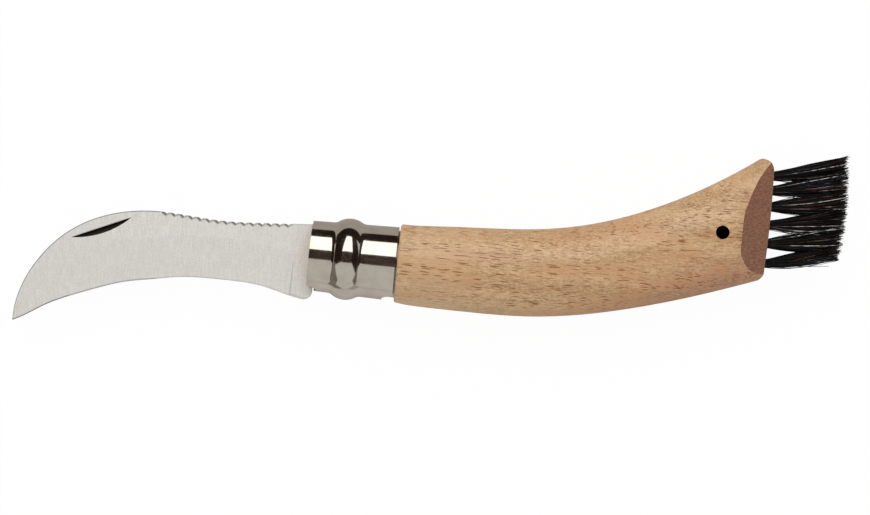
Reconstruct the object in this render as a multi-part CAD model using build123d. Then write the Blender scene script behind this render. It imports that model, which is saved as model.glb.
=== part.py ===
from build123d import *
import math
import os

# Folding mushroom knife with a curved blade, a locking ring and a brush in the handle's end.
# Lengths are in millimetres and angles in degrees.
# The knife lies on its side, open. X runs along the ferrule's axis, with the blade's tip towards -X
# and the brush towards +X. +Y is the side of the blade's spine, and +Z is square to the blade.
# Each piece is drawn with X = 0 at the middle of the locking ring's bead, on the ferrule's axis, and
# is then moved so that the origin is at the bottom centre of the whole knife.

# Blade
blade_reach = 86.8
blade_drop = 24.9
blade_thickness = 1.7
shoulder_back = 10.05
shoulder_height = 8.3
heel_depth = 11.75
heel_bottom_back = 11.0
heel_back = 8.6
heel_corner_depth = 9.45
heel_round_back = 9.35
heel_round_depth = 11.15
grind_start = 14.6
grind_run_out = 0.8
grind_height = 11.0
edge_grind_thickness = 0.6
edge_land = 0.12
edge_bevel_height = 0.7
spine_shares = [(0.253, 0.297), (0.415, 0.276), (0.588, 0.306), (0.719, 0.239), (0.853, 0.006),
                (0.951, -0.392), (0.994, -0.775)]
edge_shares = [(0.978, -0.962), (0.909, -0.811), (0.786, -0.617), (0.656, -0.463), (0.586, -0.418),
               (0.516, -0.372), (0.382, -0.349), (0.247, -0.378), (0.165, -0.447)]
edge_run_on_shares = (1.06, -1.10)

# Teeth along the blade's spine
tooth_count = 15
tooth_pitch = 2.32
tooth_depth = 0.65
first_tooth = 5.3
tooth_tilt = 20.0
tooth_root_share = 0.45
tooth_back_shares = (0.75, 0.34)

# Nail nick
nick_length = 17.0
nick_width = 1.6
nick_depth = 0.6
nick_x = 65.65
nick_y = 1.9
nick_slope = 24.0

# Pivot, and the tang that turns on it
pivot_offset = 2.4
pin_radius = 1.75
pin_clearance = 0.05
tang_half_height = 5.5
tang_tail = 6.6
tang_round_share = 0.4
neck_half_height = 4.7
neck_back = 4.5
fold_angle = 175.0
rivet_head_radius = 2.2
rivet_head_height = 0.6

# Locking ring
ring_front = 9.9
ring_rear = 12.8
ring_front_radius = 9.3
ring_rear_radius = 9.88
ring_wall = 0.9
ring_clearance = 0.08
bead_radius = 10.85
bead_half_width = 4.4
bead_crown_share = 0.72
ring_gap = 3.3
front_notch_depth = 2.35
front_notch_half_width = 4.8
rear_notch_depth = 2.9
rear_notch_half_width = 4.65
notch_corner_radius = 2.2
lock_notch_angle = 57.0
lock_front_depth = 1.6
lock_rear_depth = 4.0

# Fixed ferrule
ferrule_front = 9.7
ferrule_wall = 0.9
ferrule_gap = 2.4

# Handle
handle_front = 13.2
handle_length = 96.2
wood_radius = 10.4
wood_lift = 0.35
belly_half_thickness = 10.7
end_half_thickness = 9.9
handle_rise = 37.6
front_rounding = 0.7
wood_fit = 0.03
top_shares = [(0.121, 0.300), (0.273, 0.324), (0.424, 0.366), (0.576, 0.464), (0.728, 0.625),
              (0.879, 0.844), (0.955, 0.977), (1.041, 1.150)]
bottom_shares = [-0.284, -0.284, -0.259, -0.190, -0.087, 0.040, 0.111, 0.197]
thickness_shares = [0.25, 0.75, 1.0, 0.9, 0.6, 0.2, 0.1, 0.0]
belly_share = top_shares[2][0]
end_squareness = 3.0
end_widest_share = 0.40
quarter_points = 5
beak_radius = 3.6
toe_radius = 4.0
toe_length = 2.6
toe_low = 4.2
toe_high = 8.3
end_bow = 0.3
end_face_width = 12.4
facet_angle = 27.0
facet_length = 12.0
lanyard_back = 12.6
lanyard_height = 16.9
lanyard_radius = 1.75

# Slot in the handle for the blade
slot_width = 2.15
slot_clearance = 0.35
slot_roof_clearance = 0.7
slot_tip_clearance = 0.8
slot_heel_run = 3.2
slot_opening_angle = 15.0

# Brush
tuft_rows_shares = [0.0, 0.229, 0.444, 0.652, 0.836, 1.0]
tuft_columns = 3
tuft_span = 23.3
tuft_low = 10.0
tuft_column_pitch = 3.5
tuft_hole_radius = 1.25
tuft_hole_depth = 5.5
tuft_fit = 0.04
tuft_recess = 0.3
strand_count = 25
strand_sides = 3
strand_base_radius = 0.15
strand_tip_radius = 0.12
strand_bundle_radius = 1.05
brush_length = 20.2
brush_bow = 1.1
brush_tip_low = 13.6
brush_tip_row_pitch = 4.94
brush_tip_column_pitch = 4.5
brush_tip_spread = 2.3
brush_tip_side_spread = 2.0
strand_unevenness = 1.5
strand_lengths = 9
strand_length_stride = 7
golden_angle = 137.508

# Wire anchors that hold the tufts in their holes
anchor_length = 3.2
anchor_thickness = 0.4
anchor_height = 1.6

# One overrun for every cut
overrun = 1.0

# Worked out from the sizes above
half_blade = blade_thickness / 2
pivot = Vector(0, -pivot_offset)
handle_end = handle_front + handle_length
tuft_front = handle_end - tuft_recess
brush_reach = handle_end + brush_length
last_row = len(tuft_rows_shares) - 1
brush_top = brush_tip_low + last_row * brush_tip_row_pitch + brush_tip_spread
knife_place = Pos((blade_reach - brush_reach) / 2, (blade_drop - brush_top) / 2, bead_radius)
along_x = Plane(origin=(0, 0, 0), x_dir=(0, 1, 0), z_dir=(1, 0, 0))


# Helpers

def blade_point(shares):
    """A point of the blade's outline, from shares of its reach and of its tip's drop."""
    return Vector(-shares[0] * blade_reach, shares[1] * blade_drop)


def folded(point):
    """Where a point of the open blade lies once the blade is folded into the handle."""
    return pivot + (point - pivot).rotate(Axis.Z, fold_angle)


def turned(points, arc=360):
    """A solid turned about the ferrule's axis from an outline of places along it and radii."""
    return revolve(make_face(Polyline(*points, close=True)), Axis.X, arc)


def between(half_width, x_low, x_high, y_low, y_high):
    """A block with equal widths above and below the plane of the blade."""
    corners = [(x_low, y_low), (x_high, y_low), (x_high, y_high), (x_low, y_high)]
    return extrude(make_face(Polyline(*corners, close=True)), half_width, both=True)


def band_radius(x):
    """Outer radius of the locking ring's plain bands, which widen towards the handle."""
    share = (x + ring_front) / (ring_front + ring_rear)
    return ring_front_radius + share * (ring_rear_radius - ring_front_radius)


def ferrule_radius(x):
    """Outer radius of the fixed ferrule, which the locking ring turns on."""
    return band_radius(x) - ring_wall - ring_clearance


def spigot_radius(x):
    """Radius of the wood inside the fixed ferrule."""
    return ferrule_radius(x) - ferrule_wall - wood_fit


# Blade

def spine_curve():
    points = [Vector(-shoulder_back, shoulder_height)] + [blade_point(s) for s in spine_shares]
    return Spline(*points, blade_point((1, -1)))


def edge_points():
    """The cutting edge, from the tip to the bottom of the heel."""
    return [blade_point((1, -1))] + [blade_point(s) for s in edge_shares] + [heel_bottom()]


def heel_bottom():
    return Vector(-heel_bottom_back, -heel_depth)


def blade_outline():
    heel_corner = Vector(-heel_back, -heel_corner_depth)
    heel_round = Vector(-heel_round_back, -heel_round_depth)
    tang_low = -pivot_offset - tang_half_height
    tang_high = -pivot_offset + tang_half_height
    tail_x = tang_round_share * tang_tail
    edges = [
        spine_curve(),
        Spline(*edge_points()),
        ThreePointArc(heel_bottom(), heel_round, heel_corner),
        Line(heel_corner, (-heel_back, tang_low)),
        Line((-heel_back, tang_low), (tail_x, tang_low)),
        ThreePointArc((tail_x, tang_low), (tang_tail, -pivot_offset), (tail_x, tang_high)),
        Line((tail_x, tang_high), (-neck_back, tang_high)),
        Line((-neck_back, tang_high), (-shoulder_back, neck_half_height - pivot_offset)),
        Line((-shoulder_back, neck_half_height - pivot_offset), (-shoulder_back, shoulder_height)),
    ]
    return make_face(edges)


def bevel_cutter(back, back_run_out, height, edge_thickness):
    """What a grind takes off one side: all outside a slope from the cutting edge up to the flat."""
    slope = height / (half_blade - edge_thickness / 2)
    faces = []
    for z in (0, half_blade + overrun):
        rise = slope * (z - edge_thickness / 2)
        curve_points = [blade_point(edge_run_on_shares)] + edge_points() + [Vector(0, -heel_depth)]
        curve = Spline(*[p + Vector(0, rise) for p in curve_points])
        left = curve @ 0
        right = curve @ 1
        low = -2 * blade_drop
        face = make_face([
            curve,
            Line(right, (right.X, low)),
            Line((right.X, low), (left.X, low)),
            Line((left.X, low), left),
        ])
        faces.append(Pos(0, 0, z) * face)
    front = make_face(Polyline(
        (-back, 0),
        (-back + back_run_out, half_blade + overrun),
        (-2 * blade_reach, half_blade + overrun),
        (-2 * blade_reach, 0),
        close=True,
    ))
    keep = extrude(Plane.XZ * front, 2 * blade_reach, both=True)
    return loft(faces, ruled=True) & keep


def tooth_cutter(spine, place):
    """One notch between two teeth, cut at a tilt so that it is deeper on the upper side."""
    root = (tooth_root_share * tooth_pitch, -tooth_depth)
    back_x, back_y = tooth_back_shares
    face = make_face([
        Line((0, overrun), (0, 0)),
        Line((0, 0), root),
        ThreePointArc(root, (back_x * tooth_pitch, -back_y * tooth_depth), (tooth_pitch, 0)),
        Line((tooth_pitch, 0), (tooth_pitch, overrun)),
        Line((tooth_pitch, overrun), (0, overrun)),
    ])
    cutter = extrude(face, blade_thickness, both=True)
    position = spine.position_at(place, position_mode=PositionMode.LENGTH)
    direction = spine.tangent_at(place, position_mode=PositionMode.LENGTH) * -1
    plane = Plane(origin=position, x_dir=direction, z_dir=(0, 0, 1))
    return plane * Rot(tooth_tilt, 0, 0) * cutter


def nail_nick():
    """A shallow groove with a straight upper edge and a bowed lower one, from a tapered disc."""
    radius = ((nick_length / 2) ** 2 + nick_depth ** 2) / (2 * nick_depth)
    across = Vector(math.sin(math.radians(nick_slope)), -math.cos(math.radians(nick_slope)))
    place = Plane(
        origin=(-nick_x, nick_y, half_blade + radius - nick_depth),
        x_dir=(math.cos(math.radians(nick_slope)), math.sin(math.radians(nick_slope)), 0),
        z_dir=across,
    )
    end_radius = radius - 2 * nick_depth
    disc = Cone(radius, end_radius, 2 * nick_width, align=(Align.CENTER, Align.CENTER, Align.MIN))
    return place * disc


def make_blade():
    blade = extrude(blade_outline(), half_blade, both=True)
    grind = bevel_cutter(grind_start, grind_run_out, grind_height, edge_grind_thickness)
    bevel = bevel_cutter(-overrun, 0, edge_bevel_height, edge_land)
    for cutter in (grind, bevel):
        blade = blade - cutter - mirror(cutter, Plane.XY)
    spine = spine_curve()
    for index in range(tooth_count):
        blade = blade - tooth_cutter(spine, first_tooth + (index + 1) * tooth_pitch)
    bore = Pos(pivot) * Cylinder(pin_radius + pin_clearance, blade_thickness + overrun)
    return blade - nail_nick() - bore


# Ferrule, ring and pivot

def bead_curve(inset):
    """The round bulge at the ring's middle, or its inner side when inset: a crown between two hollows."""
    foot = bead_half_width
    rise = bead_radius - band_radius(0)
    tilt = 2 * math.atan(rise / foot)
    crown = bead_crown_share * foot / math.sin(tilt) - inset
    side = crown * math.sin(tilt)
    top = bead_radius - inset
    side_radius = top - crown * (1 - math.cos(tilt))
    return [
        TangentArc((-foot, band_radius(-foot) - inset), (-side, side_radius), tangent=(1, 0)),
        ThreePointArc((-side, side_radius), (0, top), (side, side_radius)),
        TangentArc((foot, band_radius(foot) - inset), (side, side_radius), tangent=(-1, 0)),
    ]


def ring_profile():
    outer = bead_curve(0)
    inner = bead_curve(ring_wall)
    front_out = (-ring_front, band_radius(-ring_front))
    front_in = (-ring_front, band_radius(-ring_front) - ring_wall)
    rear_out = (ring_rear, band_radius(ring_rear))
    rear_in = (ring_rear, band_radius(ring_rear) - ring_wall)
    return make_face([
        Line(front_out, outer[0] @ 0),
        *outer,
        Line(outer[2] @ 0, rear_out),
        Line(rear_out, rear_in),
        Line(rear_in, inner[2] @ 0),
        *inner,
        Line(inner[0] @ 0, front_in),
        Line(front_in, front_out),
    ])


def edge_notch(x_inner, x_outer, half_width):
    """A cut-out with a round inner corner, beside the ring's gap on the upper side."""
    width = abs(x_outer - x_inner)
    length = 2 * half_width
    block = RectangleRounded(2 * width, length, notch_corner_radius)
    cut = extrude(Plane.XZ * block, bead_radius + overrun)
    side = Pos(x_outer, 0, 0) * cut
    upper = Box(4 * width, 2 * bead_radius, length, align=(Align.CENTER, Align.MAX, Align.MIN))
    return side & Pos(x_outer, 0, 0) * upper


def make_locking_ring():
    ring = revolve(ring_profile(), Axis.X)
    gap_size = (2 * ring_rear + overrun, 2 * bead_radius, ring_gap)
    gap = Box(*gap_size, align=(Align.CENTER, Align.MAX, Align.CENTER))
    front = edge_notch(-ring_front + front_notch_depth, -ring_front, front_notch_half_width)
    rear = edge_notch(ring_rear - rear_notch_depth, ring_rear, rear_notch_half_width)
    low = -ring_front_radius + 2 * ring_wall
    high = -bead_radius - overrun
    lock_front = turned([
        (-ring_front - overrun, low),
        (-ring_front + lock_front_depth, low),
        (-ring_front + lock_front_depth, high),
        (-ring_front - overrun, high),
    ], lock_notch_angle)
    lock_rear = turned([
        (ring_rear - lock_rear_depth, low),
        (ring_rear + overrun, low),
        (ring_rear + overrun, high),
        (ring_rear - lock_rear_depth, high),
    ], lock_notch_angle)
    return ring - gap - front - rear - lock_front - lock_rear


def make_fixed_ferrule():
    tube = turned([
        (-ferrule_front, ferrule_radius(-ferrule_front)),
        (handle_front, ferrule_radius(handle_front)),
        (handle_front, ferrule_radius(handle_front) - ferrule_wall),
        (-ferrule_front, ferrule_radius(-ferrule_front) - ferrule_wall),
    ])
    gap = between(ferrule_gap / 2, -ferrule_front - overrun, handle_front + overrun, -2 * wood_radius, 0)
    return tube - gap - Pos(pivot) * Cylinder(pin_radius, 2 * bead_radius)


def make_pivot_rivet():
    """The pin through ferrule, wood and blade, with low heads that follow the ferrule's curve."""
    pin = Pos(pivot) * Cylinder(pin_radius, 2 * bead_radius)
    head = Pos(pivot) * Cylinder(rivet_head_radius, 2 * bead_radius)
    reach = 2 * rivet_head_radius
    crown = turned([
        (-reach, 0),
        (-reach, ferrule_radius(-reach) + rivet_head_height),
        (reach, ferrule_radius(reach) + rivet_head_height),
        (reach, 0),
    ])
    core = turned([
        (-reach, 0),
        (-reach, ferrule_radius(-reach)),
        (reach, ferrule_radius(reach)),
        (reach, 0),
    ])
    return (pin & crown) + ((head & crown) - core)


# Handle

def oval(x, low, widest, high, half_thickness, squareness):
    """A section of the wood, square to the ferrule's axis, in four curves. Squareness 2 is an ellipse."""
    power = 2 / squareness
    quarter = []
    for index in range(quarter_points + 1):
        angle = math.pi / 2 * index / quarter_points
        quarter.append((math.cos(angle) ** power, half_thickness * math.sin(angle) ** power))
    curves = []
    for reach, side in ((high - widest, 1), (low - widest, 1), (low - widest, -1), (high - widest, -1)):
        points = [Vector(widest + share * reach, side * thickness) for share, thickness in quarter]
        curves.append(Spline(*points, tangents=[(0, side), (-math.copysign(1, reach), 0)]))
    return along_x * Pos(0, 0, x) * make_face(curves)


def handle_body():
    """The curved wood, lofted from a round front through ovals that get squarer towards the brush."""
    front_low = wood_lift - wood_radius
    front_high = wood_lift + wood_radius
    sections = [oval(handle_front, front_low, wood_lift, front_high, wood_radius, 2)]
    for (share, top), bottom, thick in zip(top_shares, bottom_shares, thickness_shares):
        high = top * handle_rise
        low = bottom * handle_rise
        widest = (high + low) / 2 - (1 - 2 * end_widest_share) * share ** 3 * (high - low) / 2
        near = end_half_thickness if share > belly_share else wood_radius
        half_thickness = near + thick * (belly_half_thickness - near)
        squareness = 2 + (end_squareness - 2) * share ** 2
        x = handle_front + share * handle_length
        sections.append(oval(x, low, widest, high, half_thickness, squareness))
    body = loft(sections)
    front_edges = body.faces().sort_by(Axis.X)[0].edges()
    return fillet(front_edges, front_rounding)


def end_trim():
    """The side outline of the handle's end, with a round beak, a bowed face and a round toe."""
    start_x = handle_end - facet_length
    face_x = handle_end - end_bow
    toe_start = Vector(face_x - toe_length, toe_low)
    toe_end = Vector(face_x, toe_high)
    beak_start = Vector(face_x, handle_rise - beak_radius)
    beak_end = Vector(face_x - beak_radius, handle_rise)
    face = make_face([
        Line((start_x, -handle_rise), (toe_start.X, -handle_rise)),
        Line((toe_start.X, -handle_rise), toe_start),
        RadiusArc(toe_start, toe_end, -toe_radius),
        ThreePointArc(toe_end, (handle_end, (toe_end.Y + beak_start.Y) / 2), beak_start),
        RadiusArc(beak_start, beak_end, -beak_radius),
        Line(beak_end, (start_x, handle_rise)),
        Line((start_x, handle_rise), (start_x, -handle_rise)),
    ])
    return extrude(face, 2 * wood_radius, both=True)


def end_facets():
    """The wedge whose slanted sides give the flat facets on both sides of the end face."""
    spread = math.tan(math.radians(facet_angle))
    wide = end_face_width / 2 + facet_length * spread
    narrow = end_face_width / 2 - overrun * spread
    back_x = handle_end - facet_length
    front_x = handle_end + overrun
    corners = [(back_x, -wide), (front_x, -narrow), (front_x, narrow), (back_x, wide)]
    wedge = make_face(Polyline(*corners, close=True))
    return extrude(Plane.XZ * wedge, 2 * handle_rise, both=True)


def slot():
    """The space that the tang and the folded blade sweep through, open along the belly."""
    front_x = -ferrule_front - overrun
    tang_roof = -pivot_offset + tang_tail + slot_clearance
    roof = Vector(0, slot_roof_clearance)
    edge = [folded(p) + roof for p in reversed(edge_points())]
    tip = folded(blade_point((1, -1))) - pivot
    far = pivot + tip + tip.normalized() * slot_tip_clearance + roof
    radius = (far - pivot).length
    angle = math.degrees(math.atan2(far.Y - pivot.Y, far.X - pivot.X))
    swept = [pivot + Vector(radius, 0).rotate(Axis.Z, a)
             for a in (angle / 2 - slot_opening_angle / 2, -slot_opening_angle)]
    face = make_face([
        Line((front_x, swept[1].Y), (front_x, tang_roof)),
        Line((front_x, tang_roof), (edge[0].X - slot_heel_run, tang_roof)),
        Line((edge[0].X - slot_heel_run, tang_roof), (edge[0].X - slot_heel_run / 2, edge[0].Y)),
        Line((edge[0].X - slot_heel_run / 2, edge[0].Y), edge[0]),
        Spline(*edge),
        Line(edge[-1], far),
        ThreePointArc(far, swept[0], swept[1]),
        Line(swept[1], (front_x, swept[1].Y)),
    ])
    return extrude(face, slot_width / 2, both=True)


def tuft_places():
    """The middle of each tuft's hole in the end face, by row from the bottom and by column."""
    places = {}
    for row, share in enumerate(tuft_rows_shares):
        for column in range(tuft_columns):
            side = column - (tuft_columns - 1) / 2
            places[row, column] = Vector(handle_end, tuft_low + share * tuft_span, side * tuft_column_pitch)
    return places


def tuft_hole(place):
    length = tuft_hole_depth + 2 * overrun
    hole = Cylinder(tuft_hole_radius, length, align=(Align.CENTER, Align.CENTER, Align.MIN))
    return Pos(place - Vector(tuft_hole_depth, 0, 0)) * Rot(0, 90, 0) * hole


def anchor(place):
    """One wire anchor, driven across the bottom of a tuft's hole."""
    size = (anchor_height, anchor_length, anchor_thickness)
    block = Box(*size, align=(Align.MIN, Align.CENTER, Align.CENTER))
    return Pos(place - Vector(tuft_hole_depth, 0, 0)) * block


def make_handle():
    start_x = handle_end - facet_length
    body = handle_body()
    end_x = handle_end + 2 * facet_length
    end_block = between(2 * wood_radius, start_x, end_x, -handle_rise, 2 * handle_rise)
    body = body - (end_block - (end_trim() & end_facets()))
    spigot = turned([
        (-ferrule_front, 0),
        (-ferrule_front, spigot_radius(-ferrule_front)),
        (handle_front, spigot_radius(handle_front)),
        (handle_front + overrun, spigot_radius(handle_front)),
        (handle_front + overrun, 0),
    ])
    handle = body + spigot - slot()
    handle = handle - Pos(pivot) * Cylinder(pin_radius, 2 * bead_radius)
    lanyard = Pos(handle_end - lanyard_back, lanyard_height)
    handle = handle - lanyard * Cylinder(lanyard_radius, 4 * wood_radius)
    for place in tuft_places().values():
        handle = handle - tuft_hole(place) - anchor(place)
    return handle


# Brush

def strand(start, end):
    """One straight bristle that thins towards its tip."""
    faces = []
    for place, radius in ((start, strand_base_radius), (end, strand_tip_radius)):
        plane = Plane(origin=place, x_dir=(0, 0, 1), z_dir=(1, 0, 0))
        faces.append(plane * RegularPolygon(radius, strand_sides))
    return loft(faces, ruled=True)


def make_tuft(row, column, place):
    """A plug of bound bristle roots in its hole, with the strands fanning out from it."""
    plug_length = tuft_hole_depth - tuft_recess
    plug = Rot(0, 90, 0) * Cylinder(
        tuft_hole_radius - tuft_fit, plug_length, align=(Align.CENTER, Align.CENTER, Align.MIN)
    )
    plug = Pos(place - Vector(tuft_hole_depth, 0, 0)) * plug - anchor(place)
    side = column - (tuft_columns - 1) / 2
    off_middle = 2 * row / last_row - 1
    tip_centre = Vector(
        brush_reach - brush_bow * off_middle ** 2,
        brush_tip_low + row * brush_tip_row_pitch,
        side * brush_tip_column_pitch,
    )
    strands = []
    for index in range(strand_count):
        out = math.sqrt((2 * index + 1) / (2 * strand_count))
        around = math.radians(index * golden_angle)
        up = out * math.cos(around)
        aside = out * math.sin(around)
        length_step = (index + row + column) * strand_length_stride % strand_lengths
        short = strand_unevenness * length_step / strand_lengths
        base = Vector(tuft_front, place.Y, place.Z) + Vector(0, up, aside) * strand_bundle_radius
        tip = tip_centre + Vector(0, up * brush_tip_spread, aside * brush_tip_side_spread)
        run = tip - base
        rooted = base - run * (tuft_recess / run.X)
        cut_short = base + run * (1 - short / run.X)
        strands.append(strand(rooted, cut_short))
    return plug.fuse(*strands)


def make_anchors(places):
    return Compound(children=[anchor(place) for place in places.values()])


def make_parts():
    parts = {
        "blade": make_blade(),
        "pivot_rivet": make_pivot_rivet(),
        "fixed_ferrule": make_fixed_ferrule(),
        "locking_ring": make_locking_ring(),
        "handle": make_handle(),
        "tuft_anchors": make_anchors(tuft_places()),
    }
    for (row, column), place in tuft_places().items():
        parts[f"bristle_tuft_{row + 1}_{column + 1}"] = make_tuft(row, column, place)
    return parts


os.makedirs("parts", exist_ok=True)
for name, shape in make_parts().items():
    export_step(knife_place * shape, f"parts/{name}.step")
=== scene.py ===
import bpy
import math
import random
from mathutils import Matrix, Vector


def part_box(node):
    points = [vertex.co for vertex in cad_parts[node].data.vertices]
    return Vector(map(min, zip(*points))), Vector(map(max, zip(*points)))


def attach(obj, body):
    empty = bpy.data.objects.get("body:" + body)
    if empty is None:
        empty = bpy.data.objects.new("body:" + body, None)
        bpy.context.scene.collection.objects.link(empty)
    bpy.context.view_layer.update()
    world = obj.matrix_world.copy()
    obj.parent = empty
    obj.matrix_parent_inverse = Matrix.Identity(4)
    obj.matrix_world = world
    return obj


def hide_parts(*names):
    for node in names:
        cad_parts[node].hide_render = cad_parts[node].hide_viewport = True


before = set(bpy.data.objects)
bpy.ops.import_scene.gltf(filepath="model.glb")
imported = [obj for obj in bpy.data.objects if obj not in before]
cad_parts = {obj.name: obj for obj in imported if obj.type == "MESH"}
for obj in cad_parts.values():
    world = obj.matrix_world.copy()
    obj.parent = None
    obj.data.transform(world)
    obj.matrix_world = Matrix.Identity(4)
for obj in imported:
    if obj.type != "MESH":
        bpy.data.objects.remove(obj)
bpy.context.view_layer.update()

# Lengths are in metres. The frame's origin is at the bottom centre of the knife, which lies on its
# side: +X runs from the blade towards the brush, +Y is the side of the blade's spine.
MM = 0.001
to_brush = (1, 0, 0)
to_spine = (0, 1, 0)
upwards = (0, 0, 1)

# Camera. The photograph shows the knife from straight above, rolled so that the ferrule slopes down
# to the right. The lens and the sensor are in millimetres.
photo_roll = math.radians(5.8)
picture_width = 230.5 * MM
lens = 90.0
sensor = 36.0
camera_x = 1.54 * MM
camera_y = -5.015 * MM
camera_clip = 10 * MM

# Sizes of the solids that the frame doesn't tell. Places along X are from the ring's middle, and
# places along Y from the ferrule's axis.
ring_outer_radius = 10.85 * MM
ring_front = 9.9 * MM
nick_length = 17.0 * MM
nick_half_width = 1.6 * MM
nick_slope = math.radians(24)
nick_x = 65.65 * MM
nick_y = 1.9 * MM
teeth_reach = 50 * MM
hole_x = 96.8 * MM
hole_y = 16.9 * MM
hole_radius = 1.78 * MM

# Places taken from the frame
ring_low, ring_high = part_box("locking_ring")
handle_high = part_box("handle")[1]
blade_low, blade_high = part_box("blade")
anchor_low, anchor_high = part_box("tuft_anchors")
axis_height = (blade_low.z + blade_high.z) / 2
ring_axis_y = ring_high.y - ring_outer_radius
ring_middle_x = ring_low.x + ring_front
end_face_x = handle_high.x
teeth_x = ring_middle_x - teeth_reach
nick_place = Vector((ring_middle_x - nick_x, ring_axis_y + nick_y, blade_high.z))
hole_place = Vector((ring_middle_x + hole_x, ring_axis_y + hole_y, 0))

# Wood: the paler sapwood beside the ferrule, and a darker, pinker tone towards the end face's lower corner
sap_start = 18 * MM
sap_full = 0.0
darker_tone_direction = Vector((0.5, -0.87, 0))
darker_tone_start = 30 * MM
darker_tone_full = 45 * MM
fibre_relief = 0.02 * MM

# Ray flecks of two sizes: cells to the metre along each axis, shift, and the share of cells left plain.
# From a cell's middle, a fleck is full up to its core and fades out at its size.
fleck_kinds = (
    ((210, 2300, 2300), (0, 0, 0), 0.60),
    ((330, 3000, 3000), (7.3, 2.1, 5.5), 0.62),
)
fleck_size = 0.40
fleck_core = 0.24

# Blade
# The radius that finds the rim for its painted dark reflection
rim_radius = 0.55 * MM
blade_rounding = 0.06 * MM
brushing_relief = 0.004 * MM
teeth_fade = 1 * MM
least_nick_depth = 0.01 * MM

# Polished pieces: the material's name, its darker and its paler tone, its least and its greatest
# roughness, the height of the waves in it and the radius of its worn edges
polished_pieces = {
    "locking_ring": (
        "ring_steel", (0.50, 0.46, 0.395), (0.58, 0.54, 0.47), (0.07, 0.14), 0.03 * MM, 0.12 * MM,
    ),
    "fixed_ferrule": (
        "ferrule_steel", (0.50, 0.48, 0.45), (0.58, 0.56, 0.53), (0.22, 0.34), 0.01 * MM, 0.06 * MM,
    ),
    "pivot_rivet": (
        "rivet_steel", (0.52, 0.50, 0.47), (0.60, 0.58, 0.55), (0.20, 0.32), 0.01 * MM, 0.08 * MM,
    ),
    "tuft_anchors": (
        "anchor_wire", (0.48, 0.46, 0.42), (0.56, 0.54, 0.50), (0.25, 0.35), 0.005 * MM, 0.03 * MM,
    ),
}
# Reach of the painted shade in the crevices of the polished pieces
crevice_shade_reach = 1.2 * MM

# Hairs of the brush
tuft_rows = 6
tuft_columns = 3
hairs_per_tuft = 200
hair_root_depth = 2.0 * MM
hair_root_radius = 0.095 * MM
hair_tip_radius = 0.065 * MM
hair_sides = 4
hair_steps = 7
hair_rings = hair_steps + 2
hair_step_power = 1.8
hair_fan_power = 1.2
bundle_radius = 1.06 * MM
golden_angle = math.radians(137.508)

# How much single hairs differ: the least share of a tuft's spread, how far a tip strays and falls
# short, how far a tip beyond the brush is brought in, and how far a hair bends and sags
least_spread_share = 0.75
tip_stray = 0.3 * MM
tip_short = 1.1 * MM
tip_brought_in = 1.2 * MM
hair_bend = 0.3 * MM
hair_sag = 0.1 * MM

# Bristle: where each shade starts, as a share of the hairs, and the shade. The bluish and the palest hairs
# are partly painted highlights.
bristle_shades = (
    (0.0, (0.003, 0.003, 0.003)),
    (0.48, (0.006, 0.004, 0.004)),
    (0.64, (0.016, 0.006, 0.005)),
    (0.77, (0.085, 0.026, 0.018)),
    (0.85, (0.035, 0.05, 0.07)),
    (0.905, (0.22, 0.14, 0.1)),
    (0.955, (0.75, 0.74, 0.73)),
)
# Painted shade near the hairs' roots: gone from the first distance from the end face, full within the second
root_shade_start = 9 * MM
root_shade_full = 3 * MM

# Places of the tufts: the holes by their wire anchors, the tips as the CAD strands reach
row_shares = [0.0, 0.229, 0.444, 0.652, 0.836, 1.0]
anchor_half_length = 1.6 * MM
anchor_half_thickness = 0.2 * MM
lowest_row = anchor_low.y + anchor_half_length
highest_row = anchor_high.y - anchor_half_length
row_heights = [lowest_row + share * (highest_row - lowest_row) for share in row_shares]
column_pitch = (anchor_high.z - anchor_low.z) / 2 - anchor_half_thickness
tip_rise = 3.6 * MM
tip_row_pitch = 4.94 * MM
tip_column_pitch = 4.5 * MM
tip_spread_y = 4.5 * MM
tip_spread_z = 2.7 * MM
tip_inset = 0.1 * MM
brush_under = 0.9 * MM
brush_over = 2.1 * MM
tip_low = lowest_row + tip_rise
brush_low = tip_low - brush_under
brush_high = tip_low + (tuft_rows - 1) * tip_row_pitch + brush_over

# One hair, by its row, column and number, stands out below the brush
stray_hair = (0, 2, 7)
stray_tip = Vector((-1.2, -2.5, 0)) * MM

# Floor and lights
floor_size = 4.0
floor_shadow_reach = 8 * MM
world_level = 0.73
softbox_level = 1.5
softbox_distance = 0.9
softbox_tilt = math.radians(43.5)
softbox_depth = 0.80
softbox_length = 1.15
softbox_x = 10 * MM

# Cards overhead. Their edges are seen from the ring at these angles from straight up.
flag_height = 0.36
flag_inner_angle = math.radians(26)
flag_left_angle = math.radians(74)
flag_right_angle = math.radians(60)
flag_left_front_angle = math.radians(-47)
flag_right_front_angle = math.radians(-51)
flag_near_angle = math.radians(-10)
flag_far_angle = math.radians(20.5)
flag_back = 1.0

# Cards on the floor and round it
card_lift = 0.3 * MM
table_edge = 0.1
table_front = 1.8
table_side = 25 * MM
table_flare = 0.22
table_middle_reach = 0.2
table_reach = 0.4
backdrop_y = 0.6
backdrop_reach = 1.2
backdrop_height = 0.26
side_wall_x = 0.6
side_wall_height = 0.36
side_wall_front = 0.9
side_wall_back = 0.12
# Half the size of the dark card that paints the shadow under the lanyard hole
hole_shadow_card_half = 4 * MM

card_shades = {
    "dark": (0.03, 0.018, 0.015),
    "grey": (0.53, 0.50, 0.47),
    "brown": (0.30, 0.27, 0.24),
    "pale": (0.76, 0.74, 0.72),
}


# Node helpers

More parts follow.
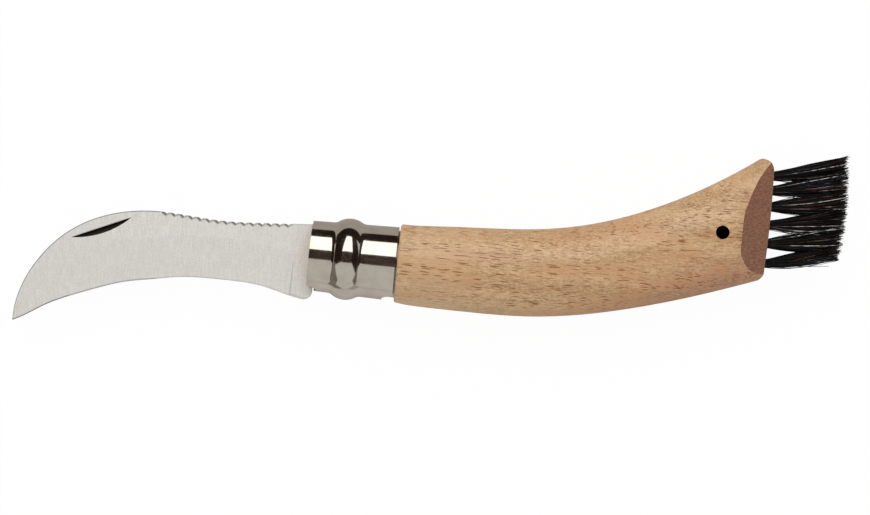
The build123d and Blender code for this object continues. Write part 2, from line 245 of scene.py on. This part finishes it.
class Tree:
    """A material's node tree, with short calls for adding and linking nodes."""

    def __init__(self, name):
        self.material = bpy.data.materials.new(name)
        self.material.use_nodes = True
        self.nodes = self.material.node_tree.nodes
        self.links = self.material.node_tree.links
        self.shader = self.nodes["Principled BSDF"]
        self.output = self.nodes["Material Output"]

    def add(self, kind, inputs=None, **settings):
        node = self.nodes.new(kind)
        for key, value in settings.items():
            setattr(node, key, value)
        for key, value in (inputs or {}).items():
            self.put(node.inputs[key], value)
        return node

    def put(self, socket, value):
        if isinstance(value, bpy.types.NodeSocket):
            self.links.new(value, socket)
        else:
            socket.default_value = value

    def set(self, **values):
        for key, value in values.items():
            self.put(self.shader.inputs[key.replace("_", " ")], value)

    def place(self):
        """Object coordinates, in metres."""
        return self.add("ShaderNodeTexCoord").outputs["Object"]

    def stretched(self, scale, turn=0.0, shift=(0, 0, 0)):
        """Object coordinates, turned about Z and then scaled along each axis, in cells to the metre."""
        turned = self.add("ShaderNodeMapping", {"Vector": self.place(), "Rotation": (0, 0, turn)})
        inputs = {"Vector": turned.outputs[0], "Location": shift, "Scale": scale}
        return self.add("ShaderNodeMapping", inputs).outputs[0]

    def noise(self, vector, detail=2.0, roughness=0.5, distortion=0.0):
        node = self.add("ShaderNodeTexNoise", {
            "Vector": vector,
            "Scale": 1.0,
            "Detail": detail,
            "Roughness": roughness,
            "Distortion": distortion,
        })
        return node.outputs["Fac"]

    def cells(self, vector):
        node = self.add("ShaderNodeTexVoronoi", {"Vector": vector, "Scale": 1.0})
        return node.outputs["Distance"], node.outputs["Color"]

    def span(self, value, low, high, to_low=0.0, to_high=1.0):
        """A smooth step of a value from one range into another."""
        node = self.add("ShaderNodeMapRange", {
            "Value": value, "From Min": low, "From Max": high, "To Min": to_low, "To Max": to_high,
        }, interpolation_type="SMOOTHSTEP")
        return node.outputs[0]

    def math(self, operation, first, second=0.0):
        node = self.add("ShaderNodeMath", operation=operation)
        self.put(node.inputs[0], first)
        self.put(node.inputs[1], second)
        return node.outputs[0]

    def mix(self, factor, first, second, blend="MIX"):
        node = self.add("ShaderNodeMix", data_type="RGBA", blend_type=blend)
        self.put(node.inputs["Factor"], factor)
        self.put(node.inputs["A"], first)
        self.put(node.inputs["B"], second)
        return node.outputs["Result"]

    def along(self, vector, direction):
        """How far a vector reaches in one direction."""
        node = self.add("ShaderNodeVectorMath", {0: vector, 1: direction}, operation="DOT_PRODUCT")
        return node.outputs["Value"]

    def near_axis(self, axis, radius):
        """1 inside an upright cylinder round a place, else 0."""
        inputs = {0: self.place(), 1: (1, 1, 0)}
        flat = self.add("ShaderNodeVectorMath", inputs, operation="MULTIPLY").outputs[0]
        node = self.add("ShaderNodeVectorMath", {0: flat, 1: (axis.x, axis.y, 0)}, operation="DISTANCE")
        return self.math("LESS_THAN", node.outputs["Value"], radius)

    def crevice(self, reach, samples=6):
        """Near 0 in tight gaps and 1 on open surfaces."""
        return self.add("ShaderNodeAmbientOcclusion", {"Distance": reach}, samples=samples).outputs["AO"]

    def rounded(self, radius, samples=4):
        """The surface's normal, as if its edges were rounded."""
        return self.add("ShaderNodeBevel", {"Radius": radius}, samples=samples).outputs[0]

    def bump(self, height, distance, strength=1.0, normal=None):
        inputs = {"Height": height, "Distance": distance, "Strength": strength}
        if normal is not None:
            inputs["Normal"] = normal
        return self.add("ShaderNodeBump", inputs).outputs["Normal"]


def colour(red, green, blue):
    return (red, green, blue, 1.0)


# Wood

def beech_grain(tree, fibre):
    """Fibres with specks, broad bands and pinkish patches."""
    specks = tree.noise(tree.stretched((1500, 2900, 2900), shift=(1.3, 0.2, 2.7)))
    bands = tree.noise(tree.stretched((11, 190, 150)), detail=3.0, distortion=0.4)
    patches = tree.noise(tree.stretched((60, 150, 150), shift=(5.3, 0.6, 2.2)), detail=3.0)
    tone = tree.math("ADD", tree.math("MULTIPLY", fibre, 0.46), tree.math("MULTIPLY", bands, 0.24))
    tone = tree.math("ADD", tone, tree.math("MULTIPLY", specks, 0.30))
    wood = tree.mix(tree.span(tone, 0.37, 0.63), colour(0.36, 0.188, 0.082), colour(0.655, 0.45, 0.245))
    return tree.mix(tree.span(patches, 0.43, 0.67, 0.0, 0.6), wood, colour(0.54, 0.29, 0.135))


def growth_lines(tree, wood):
    """Thin wavy lines that follow the levels of a long, slow noise."""
    waves = tree.noise(tree.stretched((16, 210, 210), shift=(0.6, 9.2, 4.4)), detail=1.0)
    line = tree.math("PINGPONG", tree.math("MULTIPLY", waves, 14.0), 1.0)
    return tree.mix(tree.span(line, 0.12, 0.0, 0.0, 0.3), wood, colour(0.36, 0.19, 0.09))


def ray_flecks(tree):
    """Up to 1 inside the short ray flecks, which are strongest in streaks."""
    masks = []
    for scale, shift, plain_share in fleck_kinds:
        distance, tint = tree.cells(tree.stretched(scale, shift=shift))
        lot = tree.add("ShaderNodeSeparateColor", {"Color": tint}).outputs[0]
        chosen = tree.math("GREATER_THAN", lot, plain_share)
        masks.append(tree.math("MULTIPLY", tree.span(distance, fleck_size, fleck_core), chosen))
    streaks = tree.noise(tree.stretched((20, 230, 230), shift=(2.2, 4.9, 1.1)))
    return tree.math("MULTIPLY", tree.math("MAXIMUM", *masks), tree.span(streaks, 0.39, 0.54, 0.12, 1.0))


def end_grain_and_facet_shade(tree, wood):
    """Darker end grain with pores, where the surface faces the brush; its darkness is partly painted shade
    on the facets.
    """
    normal = tree.add("ShaderNodeNewGeometry").outputs["True Normal"]
    facing = tree.along(normal, (math.cos(photo_roll), math.sin(photo_roll), 0.0))
    pores = tree.noise(tree.stretched((900, 2200, 2200)), detail=4.0)
    end_dark, end_pale = colour(0.162, 0.067, 0.034), colour(0.262, 0.114, 0.062)
    end_grain_and_shade_colour = tree.mix(tree.span(pores, 0.35, 0.65), end_dark, end_pale)
    return tree.mix(tree.span(facing, 0.34, 0.43), wood, end_grain_and_shade_colour)


def beech():
    """Waxed beech, paler by the ferrule and darker and pinker towards the end face's lower corner, with
    painted shade in the lanyard hole.
    """
    tree = Tree("beech")
    fibre = tree.noise(tree.stretched((420, 2600, 2600)), detail=4.0, roughness=0.7)
    wood = beech_grain(tree, fibre)
    place = tree.place()
    sap = tree.span(tree.along(place, to_brush), sap_start, sap_full, 0.0, 0.22)
    wood = tree.mix(sap, wood, colour(0.66, 0.5, 0.31))
    wood = growth_lines(tree, wood)
    flecks = ray_flecks(tree)
    wood = tree.mix(tree.math("MULTIPLY", flecks, 0.95), wood, colour(0.24, 0.08, 0.025))
    # Darker and pinker towards the end face's lower corner
    darker_tone = tree.span(tree.along(place, darker_tone_direction), darker_tone_start, darker_tone_full)
    wood = tree.mix(darker_tone, wood, colour(0.80, 0.66, 0.70), blend="MULTIPLY")
    # End grain on the facets, darkened further by painted shade
    wood = end_grain_and_facet_shade(tree, wood)
    # Painted shade: the inside of the lanyard hole is made near black and loses its shine.
    hole = tree.near_axis(hole_place, hole_radius)
    wood = tree.mix(hole, wood, colour(0.003, 0.002, 0.002))
    tree.set(Base_Color=wood, Roughness=tree.span(fibre, 0.3, 0.7, 0.34, 0.46))
    tree.set(Specular_IOR_Level=tree.span(hole, 0.0, 1.0, 0.5, 0.0))
    relief = tree.math("SUBTRACT", fibre, flecks)
    tree.set(Normal=tree.bump(relief, fibre_relief, strength=0.6))
    return tree.material


# Steel

def painted_rim_reflection(tree, place):
    """A painted dark reflection on the blade's rounded upper rim and its creases, weaker on the edge's side
    and the teeth.
    """
    rounded = tree.rounded(rim_radius, samples=10)
    rim_reflection = tree.span(tree.along(rounded, upwards), 0.997, 0.92, 0.0, 0.95)
    rim_reflection = tree.math("MULTIPLY", rim_reflection, tree.span(tree.along(rounded, to_spine), -0.05, 0.1, 0.4, 1.0))
    reach = tree.along(place, to_brush)
    toothed = tree.span(reach, teeth_x - teeth_fade, teeth_x + teeth_fade, 1.0, 0.3)
    return tree.math("MULTIPLY", rim_reflection, toothed)


def nail_nick(tree, place):
    """A mask of the nail nick and its colour, black from hardening and browner at its lower side."""
    offset = tree.add("ShaderNodeVectorMath", {0: place, 1: nick_place}, operation="SUBTRACT").outputs[0]
    along = tree.along(offset, (math.cos(nick_slope), math.sin(nick_slope), 0))
    across = tree.along(offset, (-math.sin(nick_slope), math.cos(nick_slope), 0))
    sunk = tree.along(offset, upwards)
    in_length = tree.math("LESS_THAN", tree.math("ABSOLUTE", along), nick_length / 2)
    in_width = tree.math("LESS_THAN", tree.math("ABSOLUTE", across), nick_half_width)
    in_depth = tree.math("LESS_THAN", sunk, -least_nick_depth)
    nick = tree.math("MULTIPLY", tree.math("MULTIPLY", in_length, in_width), in_depth)
    oxide_dark, oxide_pale = colour(0.004, 0.003, 0.003), colour(0.035, 0.02, 0.014)
    return nick, tree.mix(tree.span(across, 0.0, -nick_half_width), oxide_dark, oxide_pale)


def brushed_blade():
    """Stainless steel, brushed across the blade, with a painted dark reflection on its rim, painted shade on
    the tooth flanks and a black nick.
    """
    tree = Tree("blade_steel")
    lines = tree.noise(tree.stretched((3800, 260, 600), turn=-photo_roll), detail=4.0, roughness=0.6)
    specks = tree.noise(tree.stretched((2600, 2600, 2600)))
    cloud = tree.noise(tree.stretched((60, 60, 60)))
    tone = tree.math("ADD", tree.math("MULTIPLY", lines, 0.55), tree.math("MULTIPLY", specks, 0.45))
    steel = tree.mix(tree.span(tone, 0.3, 0.7), colour(0.82, 0.80, 0.765), colour(1.0, 0.985, 0.955))
    steel = tree.mix(tree.span(cloud, 0.35, 0.65, 0.0, 0.25), steel, colour(0.88, 0.87, 0.82))
    place = tree.place()
    # Painted reflection: a dark line where the blade's top face rounds over its rim.
    steel = tree.mix(painted_rim_reflection(tree, place), steel, colour(0.05, 0.046, 0.043))
    nick, oxide = nail_nick(tree, place)
    # Painted shade: faces turned towards the brush, the teeth's right flanks, are made darker.
    normal = tree.add("ShaderNodeNewGeometry").outputs["True Normal"]
    flank_shade = tree.math("GREATER_THAN", tree.along(normal, to_brush), 0.3)
    steel = tree.mix(flank_shade, steel, colour(0.3, 0.29, 0.275))
    plain = tree.math("SUBTRACT", 1.0, nick)
    tree.set(Base_Color=tree.mix(nick, steel, oxide), Metallic=tree.math("MULTIPLY", plain, 0.7))
    tree.set(Roughness=tree.span(lines, 0.3, 0.7, 0.55, 0.68))
    tree.set(Specular_IOR_Level=tree.math("MULTIPLY", plain, 0.5))
    edge = tree.rounded(blade_rounding)
    tree.set(Normal=tree.bump(lines, brushing_relief, strength=0.5, normal=edge))
    return tree.material


def polished(name, low, high, shine, waviness, rounding):
    """Polished steel with faint waves in its surface, smudges, rounded edges and painted shade in its
    crevices.
    """
    tree = Tree(name)
    smudge = tree.noise(tree.stretched((240, 240, 240)), detail=4.0, roughness=0.6)
    scratch = tree.noise(tree.stretched((300, 5000, 5000)), detail=3.0)
    wave = tree.noise(tree.stretched((170, 170, 170)))
    steel = tree.mix(tree.span(smudge, 0.3, 0.7), colour(*low), colour(*high))
    # Painted shade: near black where the surface lies in a tight gap or crevice.
    steel = tree.mix(tree.span(tree.crevice(crevice_shade_reach), 0.15, 0.55), colour(0.02, 0.016, 0.013), steel)
    rough = tree.math("ADD", tree.span(smudge, 0.3, 0.75, *shine), tree.span(scratch, 0.55, 0.75, 0.0, 0.06))
    tree.set(Base_Color=steel, Metallic=1.0, Roughness=rough)
    tree.set(Normal=tree.bump(wave, waviness, normal=tree.rounded(rounding)))
    return tree.material


# Dress of the CAD nodes

def assign(node, material):
    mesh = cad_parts[node].data
    mesh.materials.clear()
    mesh.materials.append(material)


def dress_cad_nodes():
    assign("blade", brushed_blade())
    assign("handle", beech())
    for node, finish in polished_pieces.items():
        assign(node, polished(*finish))


# Brush

def bristle():
    """Dark natural bristle with painted shade near its roots: most hairs are black or brown and some are
    pale.
    """
    tree = Tree("bristle")
    tint = tree.add("ShaderNodeAttribute", attribute_name="hair_tint").outputs["Fac"]
    ramp = tree.add("ShaderNodeValToRGB", {"Fac": tint})
    ramp.color_ramp.interpolation = "CONSTANT"
    # A new ramp has two stops. The first stays and takes the first shade.
    stops = ramp.color_ramp.elements
    stops.remove(stops[1])
    stops[0].color = colour(*bristle_shades[0][1])
    for start, shade in bristle_shades[1:]:
        stops.new(start).color = colour(*shade)
    along = tree.noise(tree.stretched((300, 2500, 2500)))
    hair = tree.mix(tree.span(along, 0.42, 0.58, 0.0, 0.85), ramp.outputs[0], colour(0.008, 0.006, 0.006))
    reach = tree.along(tree.place(), to_brush)
    # Painted shade on the hairs near the end face
    painted_root_shade = tree.span(reach, end_face_x + root_shade_full, end_face_x + root_shade_start, 0.85, 0.0)
    hair = tree.mix(painted_root_shade, hair, colour(0.003, 0.003, 0.003))
    tree.set(Base_Color=hair, Roughness=tree.span(along, 0.3, 0.7, 0.28, 0.42), Specular_IOR_Level=0.15)
    return tree.material


def hair_ring(centre, radius, turn):
    """The corners of a hair's section round a place."""
    angles = [turn + side * math.tau / hair_sides for side in range(hair_sides)]
    return [centre + Vector((0, math.cos(angle), math.sin(angle))) * radius for angle in angles]


def add_hair(verts, faces, root, mouth, tip, bend, turn):
    """One hair as a thin tapered tube, a little bent, from inside its hole to its tip."""
    first = len(verts)
    verts.extend(hair_ring(root, hair_root_radius, turn))
    for step in range(hair_steps + 1):
        along = (step / hair_steps) ** hair_step_power
        centre = mouth.lerp(tip, along ** hair_fan_power) + bend * math.sin(math.pi * along)
        centre.x = mouth.x + (tip.x - mouth.x) * along
        radius = hair_root_radius + (hair_tip_radius - hair_root_radius) * along ** 2
        verts.extend(hair_ring(centre, radius, turn))
    for ring in range(hair_rings - 1):
        for side in range(hair_sides):
            here = first + ring * hair_sides + side
            beside = first + ring * hair_sides + (side + 1) % hair_sides
            faces.append((here, here + hair_sides, beside + hair_sides, beside))
    last = first + (hair_rings - 1) * hair_sides
    faces.append(tuple(first + side for side in range(hair_sides)))
    faces.append(tuple(last + side for side in reversed(range(hair_sides))))


def tuft_hairs(row, column, reach_x):
    """The vertices, faces and tints of one tuft, from its hole to the place that its CAD strands reach."""
    draw = random.Random(100 * row + column)
    side = column - (tuft_columns - 1) / 2
    mouth_centre = Vector((end_face_x, row_heights[row], axis_height + side * column_pitch))
    tip_centre = Vector((
        reach_x - tip_inset,
        tip_low + row * tip_row_pitch,
        axis_height + side * tip_column_pitch,
    ))
    verts, faces, tints = [], [], []
    for index in range(hairs_per_tuft):
        out = math.sqrt((index + 0.5) / hairs_per_tuft)
        around = index * golden_angle
        offset = Vector((0, out * math.cos(around), out * math.sin(around)))
        mouth = mouth_centre + offset * bundle_radius
        root = mouth - Vector((hair_root_depth, 0, 0))
        spread = Vector((0, offset.y * tip_spread_y, offset.z * tip_spread_z))
        spread = spread * draw.uniform(least_spread_share, 1.0)
        stray = Vector((0, draw.gauss(0, tip_stray), draw.gauss(0, tip_stray)))
        short = abs(draw.gauss(0, tip_short))
        tip = tip_centre + spread + stray
        tint = draw.random()
        if (row, column, index) == stray_hair:
            tip = tip_centre + stray_tip
            tint = 0.0
        elif not brush_low < tip.y < brush_high:
            inward = math.copysign(abs(draw.gauss(0, tip_brought_in)), offset.y)
            tip.y = min(max(tip.y, brush_low), brush_high) - inward
        tip = tip - (tip - mouth).normalized() * short
        bend = Vector((0, draw.gauss(-hair_sag, hair_bend), draw.gauss(0, hair_bend)))
        add_hair(verts, faces, root, mouth, tip, bend, draw.uniform(0, math.tau))
        tints.extend([tint] * (hair_rings * hair_sides))
    return verts, faces, tints


def make_tuft(row, column, material):
    """A tuft of hairs that takes the place of the CAD's tuft in the same hole."""
    node = f"bristle_tuft_{row + 1}_{column + 1}"
    name = f"hairs_{row + 1}_{column + 1}"
    verts, faces, tints = tuft_hairs(row, column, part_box(node)[1].x)
    mesh = bpy.data.meshes.new(name)
    mesh.from_pydata([tuple(vert) for vert in verts], [], faces)
    attribute = mesh.attributes.new("hair_tint", "FLOAT", "POINT")
    attribute.data.foreach_set("value", tints)
    mesh.polygons.foreach_set("use_smooth", [True] * len(mesh.polygons))
    mesh.materials.append(material)
    piece = bpy.data.objects.new(name, mesh)
    bpy.context.scene.collection.objects.link(piece)
    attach(piece, "handle_body")
    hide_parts(node)


def make_brush():
    material = bristle()
    for row in range(tuft_rows):
        for column in range(tuft_columns):
            make_tuft(row, column, material)


# Studio

def stage_card(name, corners, material):
    """A flat card of the studio."""
    mesh = bpy.data.meshes.new(name)
    mesh.from_pydata(corners, [], [(0, 1, 2, 3)])
    mesh.materials.append(material)
    card = bpy.data.objects.new(name, mesh)
    bpy.context.scene.collection.objects.link(card)
    return card


def level_corners(left, right, near, far, height, left_flare=0.0, right_flare=0.0):
    """The corners of a level card, placed from the ring's middle, with flares that move its near ones."""
    left, right = ring_middle_x + left, ring_middle_x + right
    return [
        (left + left_flare, near, height),
        (right + right_flare, near, height),
        (right, far, height),
        (left, far, height),
    ]


def upright_corners(start, end, height):
    """The corners of a card that stands on the floor between two places."""
    return [(*start, 0), (*end, 0), (*end, height), (*start, height)]


def card_material(name, shade):
    """A dull material for a card."""
    tree = Tree(name)
    tree.set(Base_Color=colour(*shade), Roughness=1.0, Specular_IOR_Level=0.0)
    return tree.material


def mottled_card_material():
    """A dark dull material with paler mottles."""
    tree = Tree("mottled_card")
    mottle = tree.span(tree.noise(tree.stretched((330, 16, 1))), 0.5, 0.57)
    shade = tree.mix(mottle, colour(0.022, 0.014, 0.012), colour(0.17, 0.135, 0.12))
    tree.set(Base_Color=shade, Roughness=1.0, Specular_IOR_Level=0.0)
    return tree.material


def make_floor():
    """A white floor that keeps a soft shadow where the knife lies on it."""
    tree = Tree("floor")
    fine = tree.noise(tree.stretched((40, 40, 40)), detail=3.0)
    open_share = tree.crevice(floor_shadow_reach, samples=8)
    paper = tree.mix(fine, colour(0.93, 0.93, 0.93), colour(0.96, 0.96, 0.96))
    tree.set(Base_Color=paper, Roughness=0.9, Specular_IOR_Level=0.1)
    rays = tree.add("ShaderNodeLightPath")
    seen = tree.math("MAXIMUM", rays.outputs["Is Camera Ray"], rays.outputs["Is Transmission Ray"])
    seen = tree.math("MAXIMUM", seen, rays.outputs["Is Glossy Ray"])
    white = tree.add("ShaderNodeEmission", {"Color": colour(1, 1, 1), "Strength": 1.0})
    share = tree.math("MULTIPLY", seen, tree.span(open_share, 0.03, 0.35, 0.0, 0.97))
    blend = tree.add("ShaderNodeMixShader", {0: share, 1: tree.shader.outputs[0], 2: white.outputs[0]})
    tree.links.new(blend.outputs[0], tree.output.inputs["Surface"])
    half = floor_size / 2
    corners = [(-half, -half, 0), (half, -half, 0), (half, half, 0), (-half, half, 0)]
    stage_card("floor", corners, tree.material)


def level_cards(paint):
    """The card over the ring and the cards that lie on the floor beside it."""
    inner = flag_height * math.tan(flag_inner_angle)
    near = flag_height * math.tan(flag_near_angle)
    far = flag_height * math.tan(flag_far_angle)
    places = {
        "flag_overhead": ("mottled", -inner, inner, near, far, flag_height),
        "table_back": ("dark", -backdrop_y, backdrop_y, table_edge, backdrop_y, card_lift),
        "table_middle": ("grey", -table_middle_reach, table_middle_reach, 0, table_edge, card_lift),
        "table_near": (
            "pale", -table_side, table_side, -table_front, 0, card_lift, -table_flare, table_flare,
        ),
        "table_left": ("brown", -table_reach, -table_side, -table_front, 0, card_lift, 0, -table_flare),
        "table_right": ("grey", table_side, table_reach, -table_front, 0, card_lift, table_flare, 0),
    }
    return [
        stage_card(name, level_corners(*place), paint[shade])
        for name, (shade, *place) in places.items()
    ]


def backdrop_and_walls(paint):
    """The cards that stand on the floor behind the knife and at both sides."""
    back = upright_corners((-backdrop_reach, backdrop_y), (backdrop_reach, backdrop_y), backdrop_height)
    cards = [stage_card("backdrop", back, paint["dark"])]
    for wall_x in (-side_wall_x, side_wall_x):
        wall = upright_corners((wall_x, -side_wall_front), (wall_x, -side_wall_back), side_wall_height)
        cards.append(stage_card("side_wall", wall, paint["brown"]))
    return cards


def side_flags(paint):
    """The dark cards on both sides of the one over the ring, each with a slanted front edge."""
    cards = []
    inner = flag_height * math.tan(flag_inner_angle)
    near = flag_height * math.tan(flag_near_angle)
    for side, angle, front_angle in (
        (-1, flag_left_angle, flag_left_front_angle),
        (1, flag_right_angle, flag_right_front_angle),
    ):
        inner_x = ring_middle_x + side * inner
        outer_x = ring_middle_x + side * flag_height * math.tan(angle)
        front = flag_height * math.tan(front_angle)
        cards.append(stage_card("flag_side", [
            (inner_x, near, flag_height),
            (outer_x, front, flag_height),
            (outer_x, flag_back, flag_height),
            (inner_x, flag_back, flag_height),
        ], paint["dark"]))
    return cards


def make_cards():
    """Cards that only reflections see, which frame the softbox in the ring, and a dark card under the hole
    that paints the shadow seen through it.
    """
    paint = {name: card_material(f"{name}_card", shade) for name, shade in card_shades.items()}
    paint["mottled"] = mottled_card_material()
    for card in level_cards(paint) + backdrop_and_walls(paint) + side_flags(paint):
        card.visible_camera = False
        card.visible_diffuse = False
        card.visible_shadow = False
        card.visible_transmission = False
    # A dark card on the floor under the lanyard hole, seen through it: painted shadow.
    hole_near, hole_far = hole_place.y - hole_shadow_card_half, hole_place.y + hole_shadow_card_half
    hole = level_corners(hole_x - hole_shadow_card_half, hole_x + hole_shadow_card_half, hole_near, hole_far, card_lift)
    stage_card("hole_shadow_card", hole, paint["dark"])


def make_lights():
    world = bpy.data.worlds.new("studio")
    bpy.context.scene.world = world
    world.use_nodes = True
    background = world.node_tree.nodes["Background"]
    background.inputs["Color"].default_value = colour(1, 0.99, 0.97)
    background.inputs["Strength"].default_value = world_level
    lamp = bpy.data.lights.new("softbox", "AREA")
    lamp.shape = "RECTANGLE"
    lamp.size = softbox_length
    lamp.size_y = softbox_depth
    lamp.energy = softbox_level * math.pi * softbox_length * softbox_depth
    box = bpy.data.objects.new("softbox", lamp)
    place = Vector((0, math.sin(softbox_tilt), math.cos(softbox_tilt))) * softbox_distance
    place.x = softbox_x
    box.matrix_world = Matrix.Translation(place) @ Matrix.Rotation(-softbox_tilt, 4, "X")
    bpy.context.scene.collection.objects.link(box)


def make_camera():
    data = bpy.data.cameras.new("camera")
    data.lens = lens
    data.sensor_width = sensor
    data.clip_start = camera_clip
    camera = bpy.data.objects.new("camera", data)
    distance = picture_width * lens / sensor
    camera.location = (camera_x, camera_y, axis_height + distance)
    camera.rotation_euler = (0, 0, photo_roll)
    bpy.context.scene.collection.objects.link(camera)
    bpy.context.scene.camera = camera


make_camera()
make_lights()
make_floor()
make_cards()
dress_cad_nodes()
make_brush()

bpy.context.scene.view_settings.view_transform = "Standard"
bpy.context.view_layer.update()
